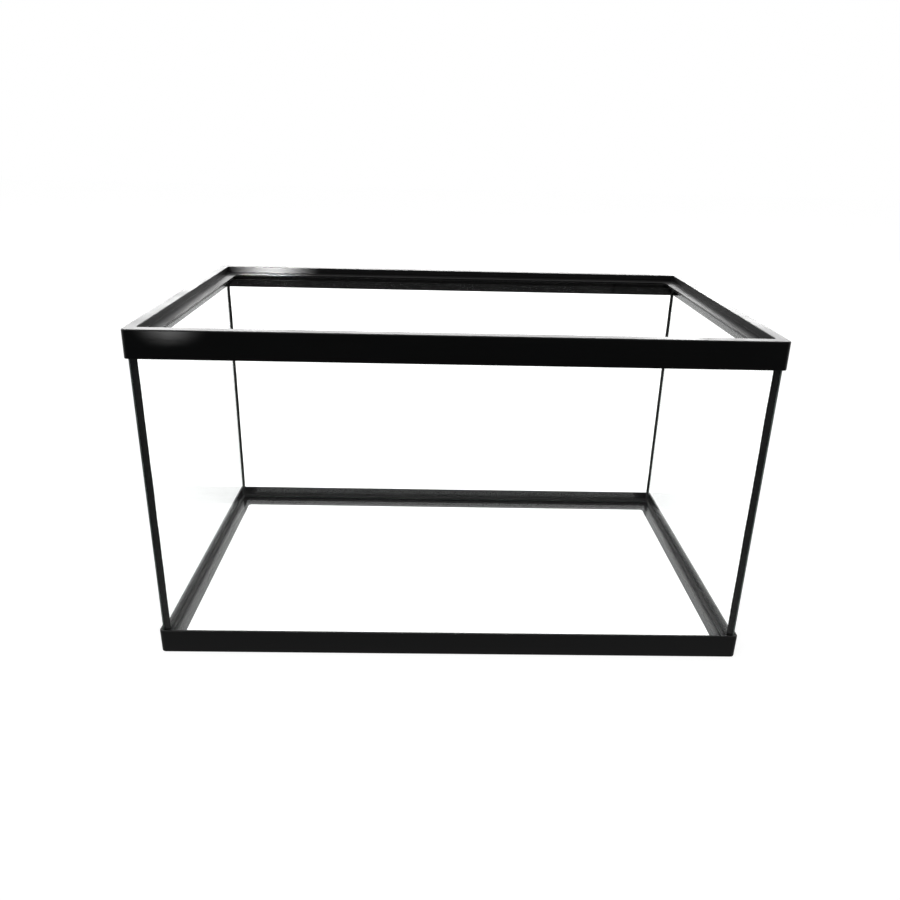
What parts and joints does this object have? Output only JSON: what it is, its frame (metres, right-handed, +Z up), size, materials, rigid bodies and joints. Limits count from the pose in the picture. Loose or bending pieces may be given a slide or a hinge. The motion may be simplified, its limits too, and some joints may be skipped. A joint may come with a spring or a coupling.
{
  "type": "rectangular aquarium",
  "caption": "Open-top rectangular glass tank with black moulded top and base frames and black silicone joints, for fish or small pets.",
  "frame": {"origin": "middle of the footprint, on the surface that the tank stands on", "axes": "+X along the length, +Y from the front to the back, +Z up"},
  "size_m": [0.514, 0.311, 0.291],
  "materials": {
    "clear_glass": "clear float glass with ground edges",
    "frame_plastic": "black moulded plastic with a soft gloss",
    "black_silicone": "cured black silicone, satin"
  },
  "bodies": {
    "root": {"glass_front": "clear_glass", "glass_back": "clear_glass", "glass_left": "clear_glass", "glass_right": "clear_glass", "glass_bottom": "clear_glass", "top_frame": "frame_plastic", "base_frame": "frame_plastic", "corner_seal_front_left": "black_silicone", "corner_seal_front_right": "black_silicone", "corner_seal_back_left": "black_silicone", "corner_seal_back_right": "black_silicone", "bottom_seal_front": "black_silicone", "bottom_seal_back": "black_silicone", "bottom_seal_left": "black_silicone", "bottom_seal_right": "black_silicone", "top_bond_front": "black_silicone", "top_bond_back": "black_silicone", "top_bond_left": "black_silicone", "top_bond_right": "black_silicone", "base_bond_front": "black_silicone", "base_bond_back": "black_silicone", "base_bond_left": "black_silicone", "base_bond_right": "black_silicone"}
  },
  "joints": []
}
